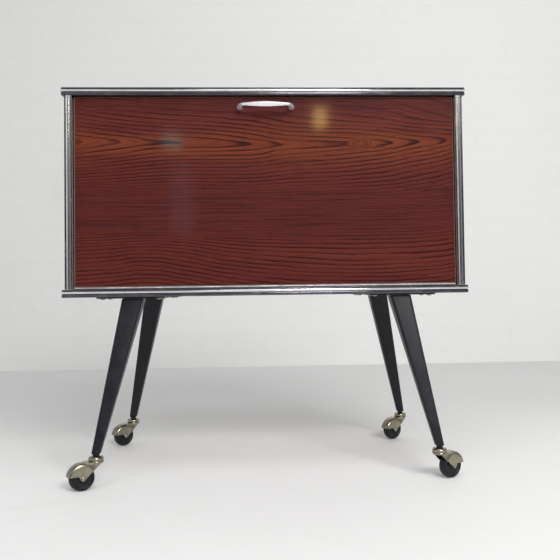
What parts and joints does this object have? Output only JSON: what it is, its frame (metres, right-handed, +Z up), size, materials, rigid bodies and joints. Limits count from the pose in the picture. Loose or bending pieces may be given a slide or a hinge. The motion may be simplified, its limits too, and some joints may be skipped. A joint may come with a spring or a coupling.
{
  "type": "sewing box",
  "caption": "Drop-front wood-grain sewing box on splayed metal legs with hooded casters; cantilever trays rise and step forward as the front flap opens.",
  "frame": {"origin": "on the floor under the middle of the bounding box, with the flap closed and the casters as in the picture", "axes": "+X to the right seen from the front, -Y out of the front flap, +Z up"},
  "size_m": [0.57, 0.3248, 0.549],
  "materials": {
    "rosewood_laminate": "semi-gloss printed rosewood laminate on board",
    "polished_band": "polished bright metal",
    "black_enamel": "black satin enamel on steel tube",
    "antique_brass": "antique brass plate, satin bright",
    "black_rubber": "black, slightly worn",
    "zinc_steel": "zinc-plated sheet steel",
    "tray_plastic": "ivory moulded plastic",
    "hardboard": "brown pressed board",
    "catch_plastic": "brown moulded plastic"
  },
  "bodies": {
    "case": {"top_panel": "rosewood_laminate", "bottom_panel": "rosewood_laminate", "left_side_panel": "rosewood_laminate", "right_side_panel": "rosewood_laminate", "back_panel": "hardboard", "top_edge_band": "polished_band", "bottom_edge_band": "polished_band", "left_front_strip": "polished_band", "right_front_strip": "polished_band", "magnet_catch": "catch_plastic", "hinge_lower_leaf": "zinc_steel", "hinge_pin": "zinc_steel", "left_pivot_bracket": "zinc_steel", "right_pivot_bracket": "zinc_steel", "leg_plate_front_left": "black_enamel", "leg_plate_front_right": "black_enamel", "leg_plate_rear_left": "black_enamel", "leg_plate_rear_right": "black_enamel", "leg_front_left": "black_enamel", "leg_front_right": "black_enamel", "leg_rear_left": "black_enamel", "leg_rear_right": "black_enamel", "caster_socket_front_left": "antique_brass", "caster_socket_front_right": "antique_brass", "caster_socket_rear_left": "antique_brass", "caster_socket_rear_right": "antique_brass"},
    "flap": {"flap_panel": "rosewood_laminate", "hinge_upper_leaf": "zinc_steel", "flap_handle": "polished_band", "left_handle_screw": "zinc_steel", "right_handle_screw": "zinc_steel", "catch_plate": "zinc_steel", "left_flap_arm": "zinc_steel", "right_flap_arm": "zinc_steel"},
    "rear_arm_left": {"left_rear_arm": "zinc_steel"},
    "rear_arm_right": {"right_rear_arm": "zinc_steel"},
    "tray_lower": {"lower_tray": "tray_plastic", "lower_tray_divider": "tray_plastic"},
    "tray_middle": {"middle_tray": "tray_plastic", "middle_tray_divider": "tray_plastic"},
    "tray_upper": {"upper_tray": "tray_plastic", "upper_tray_divider": "tray_plastic"},
    "swivel_front_left": {"caster_hood_front_left": "antique_brass", "caster_axle_front_left": "antique_brass"},
    "wheel_front_left": {"caster_wheel_front_left": "black_rubber"},
    "swivel_front_right": {"caster_hood_front_right": "antique_brass", "caster_axle_front_right": "antique_brass"},
    "wheel_front_right": {"caster_wheel_front_right": "black_rubber"},
    "swivel_rear_left": {"caster_hood_rear_left": "antique_brass", "caster_axle_rear_left": "antique_brass"},
    "wheel_rear_left": {"caster_wheel_rear_left": "black_rubber"},
    "swivel_rear_right": {"caster_hood_rear_right": "antique_brass", "caster_axle_rear_right": "antique_brass"},
    "wheel_rear_right": {"caster_wheel_rear_right": "black_rubber"}
  },
  "joints": [
    {"name": "flap_hinge", "type": "hinge", "parent": "case", "child": "flap", "pos_m": [0, -0.10733, 0.2683], "axis": [1, 0, 0], "range_deg": [0, 90]},
    {"name": "rear_arm_left_pivot", "type": "hinge", "parent": "case", "child": "rear_arm_left", "pos_m": [-0.2635, -0.05533, 0.2823], "axis": [1, 0, 0], "range_deg": [0, 90]},
    {"name": "rear_arm_right_pivot", "type": "hinge", "parent": "case", "child": "rear_arm_right", "pos_m": [0.2635, -0.05533, 0.2823], "axis": [1, 0, 0], "range_deg": [0, 90]},
    {"name": "tray_lower_pivot", "type": "hinge", "parent": "flap", "child": "tray_lower", "pos_m": [0, -0.06233, 0.2983], "axis": [1, 0, 0], "range_deg": [-90, 0]},
    {"name": "tray_middle_pivot", "type": "hinge", "parent": "flap", "child": "tray_middle", "pos_m": [0, -0.00233, 0.3583], "axis": [1, 0, 0], "range_deg": [-90, 0]},
    {"name": "tray_upper_pivot", "type": "hinge", "parent": "flap", "child": "tray_upper", "pos_m": [0, 0.05767, 0.4183], "axis": [1, 0, 0], "range_deg": [-90, 0]},
    {"name": "swivel_front_left_turn", "type": "hinge", "parent": "case", "child": "swivel_front_left", "pos_m": [-0.2335, -0.13693, 0.0375], "axis": [0, 0, 1], "continuous": true},
    {"name": "wheel_front_left_spin", "type": "hinge", "parent": "swivel_front_left", "child": "wheel_front_left", "pos_m": [-0.25072, -0.14608, 0.017], "axis": [0.4695, -0.8829, 0], "continuous": true},
    {"name": "swivel_front_right_turn", "type": "hinge", "parent": "case", "child": "swivel_front_right", "pos_m": [0.2335, -0.13693, 0.0375], "axis": [0, 0, 1], "continuous": true},
    {"name": "wheel_front_right_spin", "type": "hinge", "parent": "swivel_front_right", "child": "wheel_front_right", "pos_m": [0.25022, -0.12688, 0.017], "axis": [-0.515, 0.8572, 0], "continuous": true},
    {"name": "swivel_rear_left_turn", "type": "hinge", "parent": "case", "child": "swivel_rear_left", "pos_m": [-0.2335, 0.15307, 0.0375], "axis": [0, 0, 1], "continuous": true},
    {"name": "wheel_rear_left_spin", "type": "hinge", "parent": "swivel_rear_left", "child": "wheel_rear_left", "pos_m": [-0.24822, 0.14028, 0.017], "axis": [0.6561, -0.7547, 0], "continuous": true},
    {"name": "swivel_rear_right_turn", "type": "hinge", "parent": "case", "child": "swivel_rear_right", "pos_m": [0.2335, 0.15307, 0.0375], "axis": [0, 0, 1], "continuous": true},
    {"name": "wheel_rear_right_spin", "type": "hinge", "parent": "swivel_rear_right", "child": "wheel_rear_right", "pos_m": [0.21715, 0.14245, 0.017], "axis": [0.5446, -0.8387, 0], "continuous": true}
  ],
  "couplings": [
    {"joint": "rear_arm_left_pivot", "follows": "flap_hinge", "ratio": 1},
    {"joint": "rear_arm_right_pivot", "follows": "flap_hinge", "ratio": 1},
    {"joint": "tray_lower_pivot", "follows": "flap_hinge", "ratio": -1},
    {"joint": "tray_middle_pivot", "follows": "flap_hinge", "ratio": -1},
    {"joint": "tray_upper_pivot", "follows": "flap_hinge", "ratio": -1}
  ]
}
